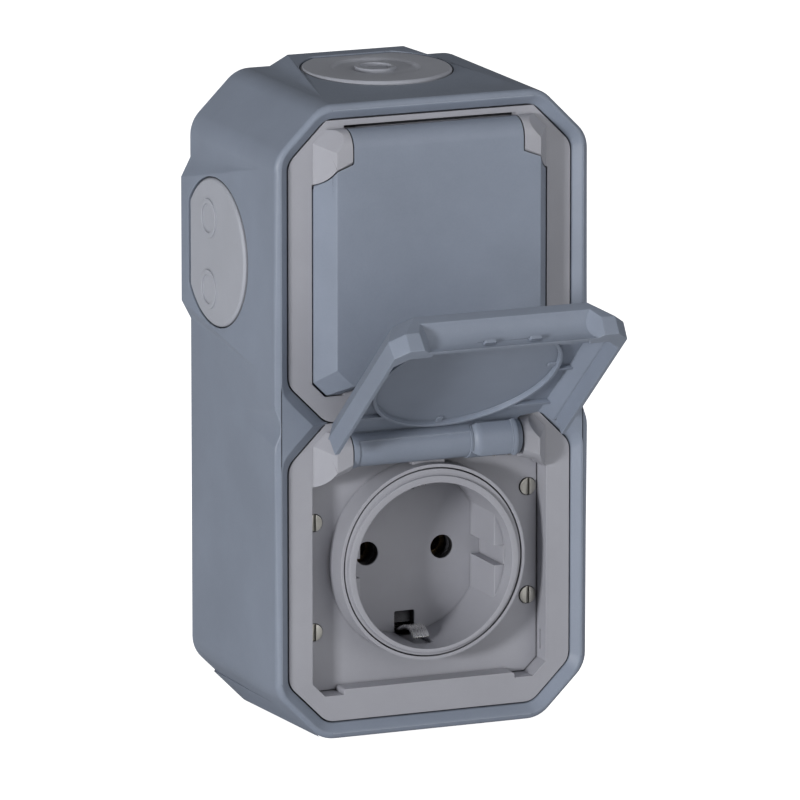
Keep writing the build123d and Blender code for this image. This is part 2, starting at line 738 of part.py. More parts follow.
def earth_bracket():
    """Strip bent to a U behind the contact base, with a sprung leaf at each end of the well."""
    back = well_depth + well_floor + fixed_gap + base_length + back_cover + 2 * fixed_gap
    outer = earth_strip_r + earth_thickness / 2
    path = [(earth_tip_depth, outer - 0.2), (earth_tip_depth + 3.2, earth_bulge_r),
            (earth_tip_depth + 5.2, earth_bulge_r), (well_depth - 0.6, outer - 0.4), (well_depth + 1.5, outer),
            (back + earth_thickness / 2, outer), (back + earth_thickness / 2, -outer), (well_depth + 1.5, -outer),
            (well_depth - 0.6, -outer + 0.4), (earth_tip_depth + 5.2, -earth_bulge_r),
            (earth_tip_depth + 3.2, -earth_bulge_r), (earth_tip_depth, -outer + 0.2)]
    plane = Plane(origin=(-earth_width / 2, front, 0), x_dir=(0, 1, 0), z_dir=(1, 0, 0))
    return extrude(plane * bent_strip(path, earth_thickness), amount=earth_width)


def bent_strip(path, thickness):
    """Edge view of a metal strip that follows a path, rounded at its bends."""
    sketch = None
    for (x0, y0), (x1, y1) in zip(path[:-1], path[1:]):
        length = math.hypot(x1 - x0, y1 - y0)
        angle = math.degrees(math.atan2(y1 - y0, x1 - x0))
        piece = Pos((x0 + x1) / 2, (y0 + y1) / 2) * Rot(0, 0, angle) * SlotCenterToCenter(length, thickness)
        sketch = piece if sketch is None else sketch + piece
    return sketch


def contact_base():
    start = well_depth + well_floor + fixed_gap
    end = start + base_length
    outline = octagon(base_half_width, base_half_height, 3.0)
    body = slab(outline, start, end)
    for side in (-1, 1):
        x = side * pin_hole_spacing / 2
        body -= disc(contact_r + fixed_gap, start + 1.2, end + 1, x)
        body -= disc(pin_hole_r, start - 1, start + 2, x)
        body -= block(clamp_range(x, side), (end - clamp_height - fixed_gap, end + 1), (-clamp_size / 2 - fixed_gap,
                      clamp_size / 2 + fixed_gap))
    groove = earth_width / 2 + earth_slot_clearance
    for side in (-1, 1):
        low, high = sorted((side * (earth_strip_r - 0.3), side * (base_half_height + 1)))
        body -= block((-groove, groove), (start - 1, end + 1), (low, high))
    return body


def clamp_range(x, side):
    low, high = sorted((x, side * (base_half_width + 1)))
    return (low, high)


def contact(side):
    """Tube that grips a plug's pin, slit along its length, on one block with the wire clamp."""
    start = well_depth + well_floor + fixed_gap + contact_recess
    x = side * pin_hole_spacing / 2
    shape = tube(contact_r, contact_bore_r, start, start + contact_length, x)
    shape -= block((x - contact_slit / 2, x + contact_slit / 2), (start - 1, start + contact_length * 0.7), (0, contact_r + 1))
    end = well_depth + well_floor + fixed_gap + base_length
    half = clamp_size / 2
    low, high = sorted((x + side * contact_bore_r, side * (base_half_width - 0.5)))
    clamp = block((low, high), (end - clamp_height, end), (-half, half))
    clamp -= disc(contact_bore_r, end - clamp_height - 1, end + 1, x)
    screw_x = side * (base_half_width - 0.5 - clamp_size / 2 + 0.6)
    clamp -= disc(clamp_screw_r + screw_clearance, end - clamp_height - 1, end + 1, screw_x)
    return shape + clamp


def terminal_screws():
    end = well_depth + well_floor + fixed_gap + base_length
    shapes = []
    for side in (-1, 1):
        x = side * (base_half_width - 0.5 - clamp_size / 2 + 0.6)
        shapes.append(disc(clamp_screw_r, end - clamp_height + 1, end + back_cover + 2 * fixed_gap, x))
    heads = []
    for shape, side in zip(shapes, (-1, 1)):
        x = side * (base_half_width - 0.5 - clamp_size / 2 + 0.6)
        top = end + back_cover + 2 * fixed_gap
        head = disc(clamp_screw_head_r, top, top + clamp_screw_head, x)
        head -= block((x - clamp_screw_head_r, x + clamp_screw_head_r), (top + clamp_screw_head / 2, top + clamp_screw_head + 1),
                      (-0.4, 0.4))
        heads.append(shape + head)
    return Compound(children=heads)


def back_plate():
    """Cover that closes the contact base towards the wall."""
    start = well_depth + well_floor + fixed_gap + base_length + fixed_gap
    plate = slab(octagon(base_half_width, base_half_height, 3.0), start, start + back_cover)
    for side in (-1, 1):
        x = side * (base_half_width - 0.5 - clamp_size / 2 + 0.6)
        plate -= disc(clamp_screw_r + screw_clearance, start - 1, start + back_cover + 1, x)
    groove = earth_width / 2 + earth_slot_clearance
    for side in (-1, 1):
        low, high = sorted((side * (earth_strip_r - 0.3), side * (base_half_height + 1)))
        plate -= block((-groove, groove), (start - 1, start + back_cover + 1), (low, high))
    return plate


os.makedirs("parts", exist_ok=True)

write(housing(), "housing")
top_ring_place = (0, membrane_from_front - top_ring_from_front)
top_rings = [(*top_ring_place, top_small_ring_r, side_ring_width, top_small_ring_height)]
side_ring_y = membrane_from_front - side_ring_from_front
side_rings = [(s * side_ring_spacing / 2 + side_ring_drop, side_ring_y, side_ring_r, side_ring_width, side_ring_height)
              for s in (-1, 1)]
write(membrane(body_half_height, top_rings, top_ring_place), "top_membrane")
write(on_side(membrane(body_half_width, side_rings, None, side_membrane_shrink)), "side_membrane")

shared = {
    "frame": frame(),
    "frame_gasket": frame_gasket(),
    "cover_plate": cover_plate(),
    "fixing_screws": fixing_screws(),
    "socket_insert": socket_insert(),
    "earth_bracket": earth_bracket(),
    "contact_base": contact_base(),
    "left_contact": contact(-1),
    "right_contact": contact(1),
    "terminal_screws": terminal_screws(),
    "base_cover": back_plate(),
    "hinge_pin": hinge_pin(),
}
moving = {"lid": lid(), "spring_cover": spring_cover(), "lid_spring": hinge_spring()}
opened_by = {"upper": 0.0, "lower": lid_open_angle}
hinge_axis = Axis((0, hinge_y, hinge_height), (1, 0, 0))
for gang, side in gang_names.items():
    for name, shape in shared.items():
        write(at_gang(shape, side), f"{gang}_{name}")
    for name, shape in moving.items():
        write(at_gang(shape.rotate(hinge_axis, -opened_by[gang]), side), f"{gang}_{name}")
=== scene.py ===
# Splash-proof double power socket: moulded housing, two lidded gangs, two cable entries
import json
import math
import bpy
from mathutils import Matrix, Vector
from mathutils.bvhtree import BVHTree

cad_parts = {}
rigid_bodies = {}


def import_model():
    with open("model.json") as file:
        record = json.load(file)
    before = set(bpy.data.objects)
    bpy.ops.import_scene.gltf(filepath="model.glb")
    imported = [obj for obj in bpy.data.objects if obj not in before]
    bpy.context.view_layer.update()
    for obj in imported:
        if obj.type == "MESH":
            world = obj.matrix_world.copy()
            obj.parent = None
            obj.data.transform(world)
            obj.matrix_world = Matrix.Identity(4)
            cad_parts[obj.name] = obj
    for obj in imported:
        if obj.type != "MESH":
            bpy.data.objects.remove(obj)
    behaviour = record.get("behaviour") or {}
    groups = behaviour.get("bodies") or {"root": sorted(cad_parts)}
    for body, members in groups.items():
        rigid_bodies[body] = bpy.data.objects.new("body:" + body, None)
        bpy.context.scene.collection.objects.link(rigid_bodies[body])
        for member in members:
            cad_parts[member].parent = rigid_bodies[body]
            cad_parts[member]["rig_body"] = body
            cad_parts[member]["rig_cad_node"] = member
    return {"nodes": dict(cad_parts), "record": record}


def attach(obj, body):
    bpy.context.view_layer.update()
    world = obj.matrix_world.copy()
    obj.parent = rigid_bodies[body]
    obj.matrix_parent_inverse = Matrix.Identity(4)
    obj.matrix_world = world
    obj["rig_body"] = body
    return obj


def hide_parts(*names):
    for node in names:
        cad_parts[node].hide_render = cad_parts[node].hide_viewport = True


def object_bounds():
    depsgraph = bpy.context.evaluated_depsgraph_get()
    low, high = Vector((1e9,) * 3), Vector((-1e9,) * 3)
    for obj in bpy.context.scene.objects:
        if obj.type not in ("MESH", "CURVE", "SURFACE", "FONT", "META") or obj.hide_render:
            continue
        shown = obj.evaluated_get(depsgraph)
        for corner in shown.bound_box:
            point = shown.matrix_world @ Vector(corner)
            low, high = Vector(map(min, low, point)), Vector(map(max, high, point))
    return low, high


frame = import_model()
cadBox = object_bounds()
nodes = frame["nodes"]
mm = 0.001
print("frame loaded")

# places shared by several pieces, in millimetres: X right, Y towards the wall, Z up
place = {
    "front": -50.0,          # front of the two frames
    "gangOffset": 35.5,      # middle of each gang above or below the waist
    "hingeY": -51.2,
    "hingeHeight": 29.0,     # above the middle of a gang
    "openAngle": {"upper": 0.0, "lower": 130.0},
}
gangSide = {"upper": 1, "lower": -1}

# how the copies of the mouldings are finished, in millimetres and degrees
finish = {"merge": 0.002, "segments": 2, "edgeAngle": 30, "stray": 0.3, "smoothAngle": 40, "normalWeight": 60}


def selectOnly(piece):
    if bpy.context.object and bpy.context.object.mode != "OBJECT":
        bpy.ops.object.mode_set(mode="OBJECT")
    bpy.ops.object.select_all(action="DESELECT")
    piece.select_set(True)
    bpy.context.view_layer.objects.active = piece


def applyPlace(piece):
    selectOnly(piece)
    bpy.ops.object.transform_apply(location=True, rotation=True, scale=True)


def applyModifiers(piece):
    selectOnly(piece)
    for modifier in list(piece.modifiers):
        bpy.ops.object.modifier_apply(modifier=modifier.name)


def openForPicking(piece, kind):
    # edit mode with nothing selected
    selectOnly(piece)
    bpy.ops.object.mode_set(mode="EDIT")
    bpy.ops.mesh.select_mode(type=kind)
    bpy.ops.mesh.select_all(action="DESELECT")


def namePiece(piece, name):
    piece.name = name
    piece.data.name = name


def pairOf(piece):
    # a piece and its copy, one for each gang
    selectOnly(piece)
    bpy.ops.object.duplicate()
    return piece, bpy.context.object


def takeCopy(nodeName, newName):
    # a merged copy of a CAD node's mesh, ready for its edges to be rounded
    selectOnly(nodes[nodeName])
    bpy.ops.object.duplicate()
    piece = bpy.context.object
    namePiece(piece, newName)
    piece.parent = None
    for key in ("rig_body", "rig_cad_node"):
        if key in piece:
            del piece[key]
    piece.matrix_world = Matrix.Identity(4)
    piece.data.materials.clear()
    bpy.ops.object.mode_set(mode="EDIT")
    bpy.ops.mesh.select_all(action="SELECT")
    bpy.ops.mesh.customdata_custom_splitnormals_clear()
    bpy.ops.mesh.remove_doubles(threshold=finish["merge"] * mm)
    bpy.ops.object.mode_set(mode="OBJECT")
    return piece


def pullBack(piece, node, limit):
    # rounding throws a few vertices off narrow faces: those go back onto the CAD surface
    surface = BVHTree.FromPolygons([vertex.co for vertex in node.data.vertices],
                                   [tuple(face.vertices) for face in node.data.polygons])
    stray = [vertex.index for vertex in piece.data.vertices
             if surface.find_nearest(vertex.co)[3] > limit * mm]
    if not stray:
        return
    group = piece.vertex_groups.new(name="stray")
    group.add(stray, 1.0, "REPLACE")
    wrap = piece.modifiers.new("pull back", "SHRINKWRAP")
    wrap.target = node
    wrap.wrap_method = "NEAREST_SURFACEPOINT"
    wrap.vertex_group = group.name
    applyModifiers(piece)
    piece.vertex_groups.remove(piece.vertex_groups["stray"])
    print(piece.name, "stray vertices pulled back:", len(stray))


def weighSharpEdges(piece, angle, kept):
    # bevel weights on the sharp edges, but none where both ends pass a test on their place in millimetres
    openForPicking(piece, "EDGE")
    bpy.ops.mesh.edges_select_sharp(sharpness=math.radians(angle))
    bpy.ops.object.mode_set(mode="OBJECT")
    weights = piece.data.attributes.new("bevel_weight_edge", "FLOAT", "EDGE")
    for edge in piece.data.edges:
        held = all(kept(piece.data.vertices[index].co / mm) for index in edge.vertices)
        weights.data[edge.index].value = float(edge.select and not held)


def roundEdges(piece, width, segments=finish["segments"], angle=finish["edgeAngle"], node=None,
               limit=finish["stray"], kept=None):
    if kept is not None:
        weighSharpEdges(piece, angle, kept)
    bevel = piece.modifiers.new("rounded edges", "BEVEL")
    bevel.width = width * mm
    bevel.segments = segments
    bevel.limit_method = "ANGLE" if kept is None else "WEIGHT"
    bevel.angle_limit = math.radians(angle)
    bevel.use_clamp_overlap = False
    bevel.miter_outer = "MITER_ARC"
    applyModifiers(piece)
    if node is not None:
        pullBack(piece, node, limit)
    selectOnly(piece)
    bpy.ops.object.shade_smooth_by_angle(angle=math.radians(finish["smoothAngle"]))
    weighted = piece.modifiers.new("even shading", "WEIGHTED_NORMAL")
    weighted.keep_sharp = True
    weighted.weight = finish["normalWeight"]
    applyModifiers(piece)


def selectVertices(piece, chosen):
    openForPicking(piece, "VERT")
    bpy.ops.object.mode_set(mode="OBJECT")
    for vertex in piece.data.vertices:
        vertex.select = chosen(vertex.co)


def softenWhere(piece, width, segments, chosen):
    # rounds only the edges whose two ends pass a test on their place in millimetres
    openForPicking(piece, "EDGE")
    bpy.ops.object.mode_set(mode="OBJECT")
    points = [vertex.co / mm for vertex in piece.data.vertices]
    for edge in piece.data.edges:
        edge.select = all(chosen(points[index]) for index in edge.vertices)
    bpy.ops.object.mode_set(mode="EDIT")
    bpy.ops.mesh.bevel(offset=width * mm, segments=segments, affect="EDGES", clamp_overlap=True)
    bpy.ops.object.mode_set(mode="OBJECT")


def dress(piece, material, body, *replaced):
    piece.data.materials.clear()
    piece.data.materials.append(material)
    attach(piece, body)
    if replaced:
        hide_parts(*replaced)


# Effects that several materials share: noise scales, lengths in metres, and shares from 0 to 1
effects = {
    "noiseRough": 0.6, "cloudScale": 42.0, "cloudDetail": 4.0, "cloudRough": 0.62, "detail": 3.0,
    "grainHeight": 0.00006, "wearPatches": 260.0, "wearSamples": 4,
    # the next three shape the painted shade and dust in grooves: noise scale, least share and samples
    "dustShadePatches": 180.0, "dustShadeLeast": 0.45, "dustShadeSamples": 6,
    "middle": (0.3, 0.7), "speckled": (0.35, 0.7),    # the part of a noise's range that shows
}


def newGroup(name, inputs, outputs):
    group = bpy.data.node_groups.new(name, "ShaderNodeTree")
    for label, kind, value in inputs:
        socket = group.interface.new_socket(label, in_out="INPUT", socket_type=kind)
        if value is not None:
            socket.default_value = value
    for label, kind in outputs:
        group.interface.new_socket(label, in_out="OUTPUT", socket_type=kind)
    return group, group.nodes.new("NodeGroupInput"), group.nodes.new("NodeGroupOutput")


def mathNode(tree, operation, first, second=None, clamp=False):
    node = tree.nodes.new("ShaderNodeMath")
    node.operation = operation
    node.use_clamp = clamp
    for socket, value in zip(node.inputs, (first, second)):
        if value is None:
            continue
        if isinstance(value, (int, float)):
            socket.default_value = value
        else:
            tree.links.new(value, socket)
    return node.outputs[0]


def noiseNode(tree, coordinates, scale, detail=effects["detail"], rough=effects["noiseRough"]):
    node = tree.nodes.new("ShaderNodeTexNoise")
    node.inputs["Detail"].default_value = detail
    node.inputs["Roughness"].default_value = rough
    if isinstance(scale, (int, float)):
        node.inputs["Scale"].default_value = scale
    else:
        tree.links.new(scale, node.inputs["Scale"])
    tree.links.new(coordinates, node.inputs["Vector"])
    return node.outputs["Fac"]


def makeGrain():
    # spark-eroded mould texture: fine bumps, and soft clouds of a slightly different shade
    group, given, out = newGroup("mouldGrain", [
        ("Grain scale", "NodeSocketFloat", 2400.0),
        ("Depth", "NodeSocketFloat", 0.4),
    ], [("Clouds", "NodeSocketFloat"), ("Speckle", "NodeSocketFloat"), ("Normal", "NodeSocketVector")])
    where = group.nodes.new("ShaderNodeTexCoord").outputs["Object"]
    fine = noiseNode(group, where, given.outputs["Grain scale"])
    broad = noiseNode(group, where, effects["cloudScale"], effects["cloudDetail"], effects["cloudRough"])
    bump = group.nodes.new("ShaderNodeBump")
    bump.inputs["Distance"].default_value = effects["grainHeight"]
    group.links.new(given.outputs["Depth"], bump.inputs["Strength"])
    group.links.new(fine, bump.inputs["Height"])
    group.links.new(broad, out.inputs["Clouds"])
    group.links.new(fine, out.inputs["Speckle"])
    group.links.new(bump.outputs["Normal"], out.inputs["Normal"])
    return group


def makeEdgeWear():
    # mask of the outer edges, broken up by noise
    group, given, out = newGroup("edgeWear", [
        ("Radius", "NodeSocketFloat", 0.0007),
        ("Gain", "NodeSocketFloat", 3.0),
    ], [("Mask", "NodeSocketFloat")])
    soft = group.nodes.new("ShaderNodeBevel")
    soft.samples = effects["wearSamples"]
    group.links.new(given.outputs["Radius"], soft.inputs["Radius"])
    surface = group.nodes.new("ShaderNodeNewGeometry")
    turn = group.nodes.new("ShaderNodeVectorMath")
    turn.operation = "DOT_PRODUCT"
    group.links.new(soft.outputs["Normal"], turn.inputs[0])
    group.links.new(surface.outputs["True Normal"], turn.inputs[1])
    bent = mathNode(group, "SUBTRACT", 1.0, turn.outputs["Value"], True)
    where = group.nodes.new("ShaderNodeTexCoord").outputs["Object"]
    patches = noiseNode(group, where, effects["wearPatches"])
    strong = mathNode(group, "MULTIPLY", bent, given.outputs["Gain"])
    worn = mathNode(group, "MULTIPLY", strong, patches, True)
    group.links.new(worn, out.inputs["Mask"])
    return group


def makeGrooveDustShade():
    # mask of narrow grooves and inner corners, for painted shade there and the dust that settles there
    group, given, out = newGroup("grooveDustShade", [
        ("Reach", "NodeSocketFloat", 0.0006),
    ], [("Mask", "NodeSocketFloat")])
    shade = group.nodes.new("ShaderNodeAmbientOcclusion")
    shade.samples = effects["dustShadeSamples"]
    group.links.new(given.outputs["Reach"], shade.inputs["Distance"])
    closed = mathNode(group, "SUBTRACT", 1.0, shade.outputs["AO"], True)
    where = group.nodes.new("ShaderNodeTexCoord").outputs["Object"]
    patches = noiseNode(group, where, effects["dustShadePatches"])
    uneven = mathNode(group, "ADD", patches, effects["dustShadeLeast"])
    group.links.new(mathNode(group, "MULTIPLY", closed, uneven, True), out.inputs["Mask"])
    return group


grainGroup = makeGrain()
dustShadeGroup = makeGrooveDustShade()
wearGroup = makeEdgeWear()


def startMaterial(name):
    material = bpy.data.materials.new(name)
    material.use_nodes = True
    tree = material.node_tree
    return material, tree, tree.nodes["Principled BSDF"]


def useGroup(tree, group, **values):
    node = tree.nodes.new("ShaderNodeGroup")
    node.node_tree = group
    for label, value in values.items():
        node.inputs[label.replace("_", " ")].default_value = value
    return node


def mixColours(tree, factor, first, second):
    node = tree.nodes.new("ShaderNodeMix")
    node.data_type = "RGBA"
    node.clamp_factor = True
    for socket, value in ((node.inputs[0], factor), (node.inputs[6], first), (node.inputs[7], second)):
        if isinstance(value, (int, float)):
            socket.default_value = value
        elif isinstance(value, tuple):
            socket.default_value = (*value, 1.0)
        else:
            tree.links.new(value, socket)
    return node.outputs[2]


def rangeNode(tree, value, low, high, toLow, toHigh):
    node = tree.nodes.new("ShaderNodeMapRange")
    for socket, number in zip(node.inputs[1:5], (low, high, toLow, toHigh)):
        socket.default_value = number
    tree.links.new(value, node.inputs[0])
    return node.outputs[0]


def mouldedPlastic(name, look):
    # satin thermoplastic with mould grain, faint clouds, paler handled edges, and painted shade with some
    # dust in narrow grooves and inner corners
    material, tree, shader = startMaterial(name)
    grain = useGroup(tree, grainGroup, Grain_scale=look["grainScale"], Depth=look["grainDepth"])
    wear = useGroup(tree, wearGroup, Radius=look["wearRadius"], Gain=look["wearGain"])
    clouds = rangeNode(tree, grain.outputs["Clouds"], *effects["middle"], 0.0, 1.0)
    body = mixColours(tree, clouds, look["dark"], look["light"])
    specks = rangeNode(tree, grain.outputs["Speckle"], *effects["speckled"], 0.0, look["speckle"])
    speckled = mixColours(tree, specks, body, look["edge"])
    rubbed = mathNode(tree, "MULTIPLY", wear.outputs["Mask"], look["wear"])
    worn = mixColours(tree, rubbed, speckled, look["edge"])
    # painted shade, with some dust, darkens grooves and inner corners towards the groove colour
    dustAndShade = useGroup(tree, dustShadeGroup, Reach=look["dustShadeReach"])
    dustShadeAmount = mathNode(tree, "MULTIPLY", dustAndShade.outputs["Mask"], look["dustAndShade"])
    dustyShaded = mixColours(tree, dustShadeAmount, worn, look["groove"])
    if "shadeFrom" in look:
        # painted shade: what lies deeper than the well's floor is shown nearly black
        where = tree.nodes.new("ShaderNodeTexCoord").outputs["Object"]
        split = tree.nodes.new("ShaderNodeSeparateXYZ")
        tree.links.new(where, split.inputs["Vector"])
        start, end = look["shadeFrom"] * mm, (look["shadeFrom"] + look["shadeOver"]) * mm
        paintedDeepShade = rangeNode(tree, split.outputs["Y"], start, end, 0.0, look["shadeMost"])
        dustyShaded = mixColours(tree, paintedDeepShade, dustyShaded, look["groove"])
    tree.links.new(dustyShaded, shader.inputs["Base Color"])
    satin = rangeNode(tree, grain.outputs["Speckle"], *effects["middle"], *look["roughness"])
    tree.links.new(satin, shader.inputs["Roughness"])
    tree.links.new(grain.outputs["Normal"], shader.inputs["Normal"])
    shader.inputs["Specular IOR Level"].default_value = look["specular"]
    return material


# What the metals have in common: a noise scale, then lengths in metres
metalLook = {"patches": 350.0, "dustShadeReach": 0.0009, "dustShadeColour": (0.02, 0.02, 0.02), "lineHeight": 0.00003}


def platedMetal(name, look):
    # turned or pressed metal with fine lines, duller patches, and painted shade with some dust in its grooves
    # and slots
    material, tree, shader = startMaterial(name)
    where = tree.nodes.new("ShaderNodeTexCoord").outputs["Object"]
    stretch = tree.nodes.new("ShaderNodeMapping")
    stretch.inputs["Scale"].default_value = look["lines"]
    tree.links.new(where, stretch.inputs["Vector"])
    lines = noiseNode(tree, stretch.outputs["Vector"], look["lineScale"])
    patches = noiseNode(tree, where, metalLook["patches"])
    plain = mixColours(tree, patches, look["dark"], look["light"])
    # painted shade, with some dust, darkens grooves and slots towards a near black
    dustAndShade = useGroup(tree, dustShadeGroup, Reach=metalLook["dustShadeReach"])
    dustyShaded = mixColours(tree, dustAndShade.outputs["Mask"], plain, metalLook["dustShadeColour"])
    tree.links.new(dustyShaded, shader.inputs["Base Color"])
    polish = rangeNode(tree, lines, *effects["middle"], *look["roughness"])
    tree.links.new(polish, shader.inputs["Roughness"])
    bump = tree.nodes.new("ShaderNodeBump")
    bump.inputs["Strength"].default_value = look["depth"]
    bump.inputs["Distance"].default_value = metalLook["lineHeight"]
    tree.links.new(lines, bump.inputs["Height"])
    tree.links.new(bump.outputs["Normal"], shader.inputs["Normal"])
    shader.inputs["Metallic"].default_value = 1.0
    return material


bluePlastic = mouldedPlastic("bluePlastic", {
    "dark": (0.186, 0.215, 0.272), "light": (0.214, 0.247, 0.313), "edge": (0.30, 0.335, 0.40),
    "grainScale": 2600.0, "grainDepth": 0.35, "speckle": 0.12,
    "wearRadius": 0.0007, "wearGain": 3.0, "wear": 0.5,
    "roughness": (0.42, 0.58), "specular": 0.45,
    "groove": (0.06, 0.068, 0.08), "dustAndShade": 0.7, "dustShadeReach": 0.0007,
})
greyLook = {
    "dark": (0.306, 0.309, 0.344), "light": (0.341, 0.345, 0.383), "edge": (0.43, 0.435, 0.47),
    "grainScale": 3000.0, "grainDepth": 0.22, "speckle": 0.08,
    "wearRadius": 0.0005, "wearGain": 3.0, "wear": 0.35,
    "roughness": (0.36, 0.5), "specular": 0.45,
    "groove": (0.1, 0.1, 0.11), "dustAndShade": 0.7, "dustShadeReach": 0.0007,
}
greyPlastic = mouldedPlastic("greyPlastic", greyLook)
softGrey = mouldedPlastic("softGrey", {
    "dark": (0.325, 0.338, 0.38), "light": (0.365, 0.38, 0.428), "edge": (0.45, 0.462, 0.50),
    "grainScale": 1800.0, "grainDepth": 0.3, "speckle": 0.1,
    "wearRadius": 0.0006, "wearGain": 2.0, "wear": 0.3,
    "roughness": (0.5, 0.66), "specular": 0.35,
    "groove": (0.13, 0.135, 0.15), "dustAndShade": 0.7, "dustShadeReach": 0.0007,
})
sealingRubber = mouldedPlastic("sealingRubber", {
    "dark": (0.012, 0.012, 0.014), "light": (0.02, 0.02, 0.023), "edge": (0.05, 0.05, 0.055),
    "grainScale": 2200.0, "grainDepth": 0.3, "speckle": 0.1,
    "wearRadius": 0.0004, "wearGain": 2.0, "wear": 0.3,
    "roughness": (0.6, 0.8), "specular": 0.3,
    "groove": (0.004, 0.004, 0.005), "dustAndShade": 0.7, "dustShadeReach": 0.0007,
})
platedSteel = platedMetal("platedSteel", {
    "dark": (0.30, 0.29, 0.26), "light": (0.62, 0.61, 0.57), "lines": (1.0, 1.0, 0.15), "lineScale": 3200.0,
    "roughness": (0.28, 0.5), "depth": 0.5,
})
springMetal = platedMetal("springMetal", {
    "dark": (0.70, 0.69, 0.67), "light": (0.88, 0.87, 0.85), "lines": (1.0, 0.15, 0.15), "lineScale": 2600.0,
    "roughness": (0.2, 0.34), "depth": 0.15,
})
# brass darkened nearly to black: painted shade for the contacts deep in the pin holes
shadedContactBrass = platedMetal("shadedContactBrass", {
    "dark": (0.20, 0.14, 0.07), "light": (0.34, 0.25, 0.13), "lines": (1.0, 0.2, 1.0), "lineScale": 2400.0,
    "roughness": (0.25, 0.42), "depth": 0.3,
})
# the same grey, with painted shade that turns it nearly black down the holes: it darkens from the Y given
# below, over the millimetres given below
insertPlastic = mouldedPlastic("insertPlastic", {
    **greyLook, "groove": (0.01, 0.01, 0.011), "dustAndShade": 0.6,
    "shadeFrom": -34.85, "shadeOver": 0.5, "shadeMost": 0.97,
})
# grey with painted shade that reaches far into every recess, nearly black
shadedBasePlastic = mouldedPlastic("shadedBasePlastic", {
    **greyLook, "roughness": (0.5, 0.62), "specular": 0.3,
    "groove": (0.004, 0.004, 0.005), "dustAndShade": 1.0, "dustShadeReach": 0.03,
})
slotMaterials = {"blue_grey_plastic": bluePlastic, "grey_plastic": greyPlastic, "soft_grey": softGrey,
                 "sealing_rubber": sealingRubber, "plated_steel": platedSteel, "spring_metal": springMetal,
                 "contact_brass": shadedContactBrass}
print("materials ready")

# Nodes that stay as they come get their slot's finish
for subpart in frame["record"]["subparts"]:
    node = nodes.get(subpart["node"])
    if node is not None:
        node.data.materials.clear()
        node.data.materials.append(slotMaterials[subpart["material_slot"]])

# the contact bases are seen only through the pin holes, so they get painted shade that makes them nearly
# black
for gang in gangSide:
    nodes[f"{gang}_contact_base"].data.materials[0] = shadedBasePlastic

# Housing
housingLook = {"edge": 0.35, "lipEdge": 0.9, "lipSegments": 4, "lipY": -51.3, "near": 0.01, "stray": 0.6}
housingShell = takeCopy("housing", "housingShell")
softenWhere(housingShell, housingLook["lipEdge"], housingLook["lipSegments"],
            lambda point: abs(point.y - housingLook["lipY"]) < housingLook["near"])
# the edges against the wall stay sharp, so that the flat back stays whole
roundEdges(housingShell, housingLook["edge"], node=nodes["housing"], limit=housingLook["stray"],
           kept=lambda point: point.y > -housingLook["near"])
dress(housingShell, bluePlastic, "housing", "housing")
print("housing dressed")

# Pierceable membranes at the two cable entries
membraneLook = {"edge": 0.16, "segments": 3}
for entry in ("top", "side"):
    piece = takeCopy(f"{entry}_membrane", entry + "Membrane")
    roundEdges(piece, membraneLook["edge"], membraneLook["segments"])
    dress(piece, softGrey, "housing", f"{entry}_membrane")
print("membranes dressed")

# Mouldings and screws of each gang: the ending of the copy's name, edge radius, material and body
gangPieces = {
    "frame": {"ending": "Frame", "edge": 0.1, "material": greyPlastic, "body": "housing"},
    "cover_plate": {"ending": "CoverPlate", "edge": 0.1, "material": greyPlastic, "body": "housing"},
    "socket_insert": {"ending": "Insert", "edge": 0.22, "material": insertPlastic, "body": "housing"},
    "lid": {"ending": "Lid", "edge": 0.16, "material": bluePlastic, "body": "lid"},
    "spring_cover": {"ending": "SpringHood", "edge": 0.3, "material": bluePlastic, "body": "lid"},
    "fixing_screws": {"ending": "Screws", "edge": 0.09, "material": platedSteel, "body": "housing"},
}
for gang in gangSide:
    for node, look in gangPieces.items():
        piece = takeCopy(f"{gang}_{node}", gang + look["ending"])
        roundEdges(piece, look["edge"], node=nodes[f"{gang}_{node}"])
        body = "housing" if look["body"] == "housing" else f"{gang}_lid"
        dress(piece, look["material"], body, f"{gang}_{node}")
    print(gang, "gang dressed")

# Earth brackets: one strip from the arched clip at the top of the well, behind the base, to the lower clip
bracketLook = {
    "width": 4.1, "thickness": 0.75, "edge": 0.14, "edgeAngle": 50,
    "leaf": ((5.0, 18.8), (5.7, 18.15), (6.6, 17.5), (7.7, 17.05), (9.0, 16.9), (10.3, 17.0), (11.8, 17.5),
             (13.2, 18.1), (14.6, 18.65)),
    "tail": ((16.5, 19.1), (36.8, 19.1)),
}


def bracketPath(look):
    # points of (depth behind the front, height above the gang's middle), from the upper clip to the lower one
    points = list(look["leaf"] + look["tail"])
    return points + [(depth, -height) for depth, height in reversed(points)]


def makeBracket(look):
    bpy.ops.mesh.primitive_plane_add(size=look["width"] * mm)
    strip = bpy.context.object
    selectVertices(strip, lambda point: point.y < 0)
    bpy.ops.object.mode_set(mode="EDIT")
    bpy.ops.mesh.delete(type="VERT")
    path = [Vector((0.0, (place["front"] + depth) * mm, height * mm)) for depth, height in bracketPath(look)]
    bpy.ops.mesh.select_all(action="SELECT")
    bpy.ops.transform.translate(value=path[0] - Vector((0.0, look["width"] / 2 * mm, 0.0)))
    for before, after in zip(path, path[1:]):
        bpy.ops.mesh.extrude_region_move(TRANSFORM_OT_translate={"value": after - before})
    bpy.ops.object.mode_set(mode="OBJECT")
    thicken = strip.modifiers.new("sheet", "SOLIDIFY")
    thicken.thickness = look["thickness"] * mm
    thicken.offset = 0.0
    thicken.use_even_offset = True
    applyModifiers(strip)
    roundEdges(strip, look["edge"], angle=look["edgeAngle"])
    return strip


